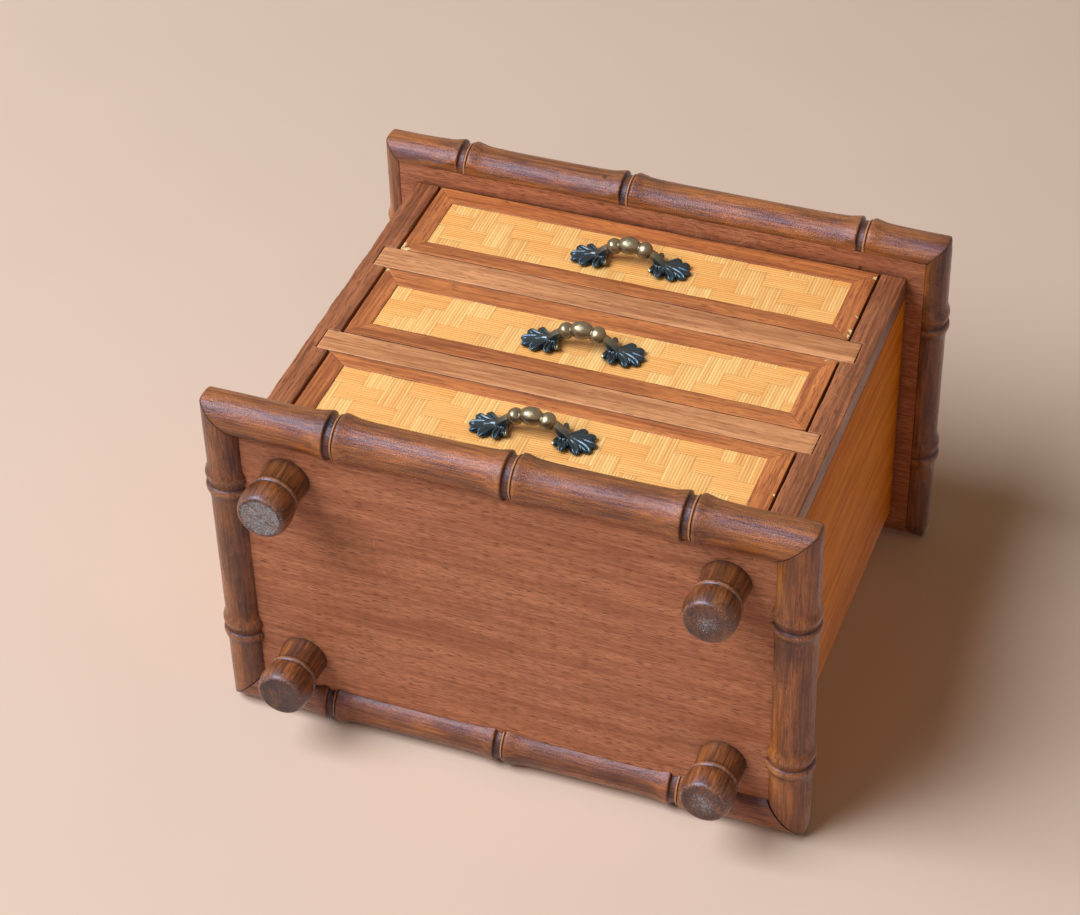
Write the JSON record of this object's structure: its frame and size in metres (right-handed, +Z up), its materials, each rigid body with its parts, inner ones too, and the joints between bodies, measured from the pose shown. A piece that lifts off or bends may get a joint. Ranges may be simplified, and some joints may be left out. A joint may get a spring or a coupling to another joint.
{
  "type": "jewelry chest",
  "caption": "Small free-standing jewelry chest with sliding drawers, woven-pattern parquetry fronts, cast pulls, turned faux-bamboo mouldings and turned feet.",
  "frame": {"origin": "middle of the footprint, on the plane of the feet", "axes": "+Z up, +X to the chest's right as seen from its front, -Y out of the drawers' fronts"},
  "size_m": [0.2524, 0.1628, 0.2256],
  "materials": {
    "board_wood": "satin varnished red-brown hardwood",
    "moulding_wood": "glossy varnished turned hardwood, worn at the lips",
    "foot_wood": "dark stained turned hardwood, end scuffed grey",
    "side_veneer": "amber varnished veneer with a fine straight grain",
    "stile_wood": "dark varnished hardwood, worn along its arris",
    "frame_wood": "reddish varnished strips, mitred",
    "parquetry": "straw parquetry in blocks of fine strips, varnished",
    "drawer_wood": "plain pale softwood, unvarnished",
    "back_ply": "thin plywood, lightly stained",
    "dowel_wood": "plain turned beech",
    "felt": "thin dark red felt",
    "antique_brass": "cast, blackened in the hollows and rubbed bright on top",
    "steel": "plain"
  },
  "bodies": {
    "carcass": {"base_board": "board_wood", "top_board": "board_wood", "back_panel": "back_ply", "side_panel_left": "side_veneer", "side_panel_right": "side_veneer", "stile_left": "stile_wood", "stile_right": "stile_wood", "rail_upper": "stile_wood", "rail_lower": "stile_wood", "rail_bottom": "stile_wood", "shelf_upper": "drawer_wood", "shelf_lower": "drawer_wood", "shelf_bottom": "drawer_wood", "drawer_stops": "drawer_wood", "moulding_bottom_front": "moulding_wood", "moulding_bottom_back": "moulding_wood", "moulding_bottom_left": "moulding_wood", "moulding_bottom_right": "moulding_wood", "moulding_top_front": "moulding_wood", "moulding_top_back": "moulding_wood", "moulding_top_left": "moulding_wood", "moulding_top_right": "moulding_wood", "foot_front_left": "foot_wood", "foot_front_right": "foot_wood", "foot_back_left": "foot_wood", "foot_back_right": "foot_wood", "foot_dowels": "dowel_wood", "carcass_dowels": "dowel_wood", "back_panel_pins": "steel"},
    "drawer_upper": {"drawer_upper_front": "drawer_wood", "drawer_upper_frame": "frame_wood", "drawer_upper_inlay": "parquetry", "drawer_upper_side_left": "drawer_wood", "drawer_upper_side_right": "drawer_wood", "drawer_upper_back": "drawer_wood", "drawer_upper_bottom": "drawer_wood", "drawer_upper_lining": "felt", "drawer_upper_pull": "antique_brass", "drawer_upper_pull_screws": "steel"},
    "drawer_middle": {"drawer_middle_front": "drawer_wood", "drawer_middle_frame": "frame_wood", "drawer_middle_inlay": "parquetry", "drawer_middle_side_left": "drawer_wood", "drawer_middle_side_right": "drawer_wood", "drawer_middle_back": "drawer_wood", "drawer_middle_bottom": "drawer_wood", "drawer_middle_lining": "felt", "drawer_middle_pull": "antique_brass", "drawer_middle_pull_screws": "steel"},
    "drawer_bottom": {"drawer_bottom_front": "drawer_wood", "drawer_bottom_frame": "frame_wood", "drawer_bottom_inlay": "parquetry", "drawer_bottom_side_left": "drawer_wood", "drawer_bottom_side_right": "drawer_wood", "drawer_bottom_back": "drawer_wood", "drawer_bottom_bottom": "drawer_wood", "drawer_bottom_lining": "felt", "drawer_bottom_pull": "antique_brass", "drawer_bottom_pull_screws": "steel"}
  },
  "joints": [
    {"name": "drawer_upper_slide", "type": "slide", "parent": "carcass", "child": "drawer_upper", "axis": [0, -1, 0], "range_m": [0, 0.09]},
    {"name": "drawer_middle_slide", "type": "slide", "parent": "carcass", "child": "drawer_middle", "axis": [0, -1, 0], "range_m": [0, 0.09]},
    {"name": "drawer_bottom_slide", "type": "slide", "parent": "carcass", "child": "drawer_bottom", "axis": [0, -1, 0], "range_m": [0, 0.09]}
  ]
}
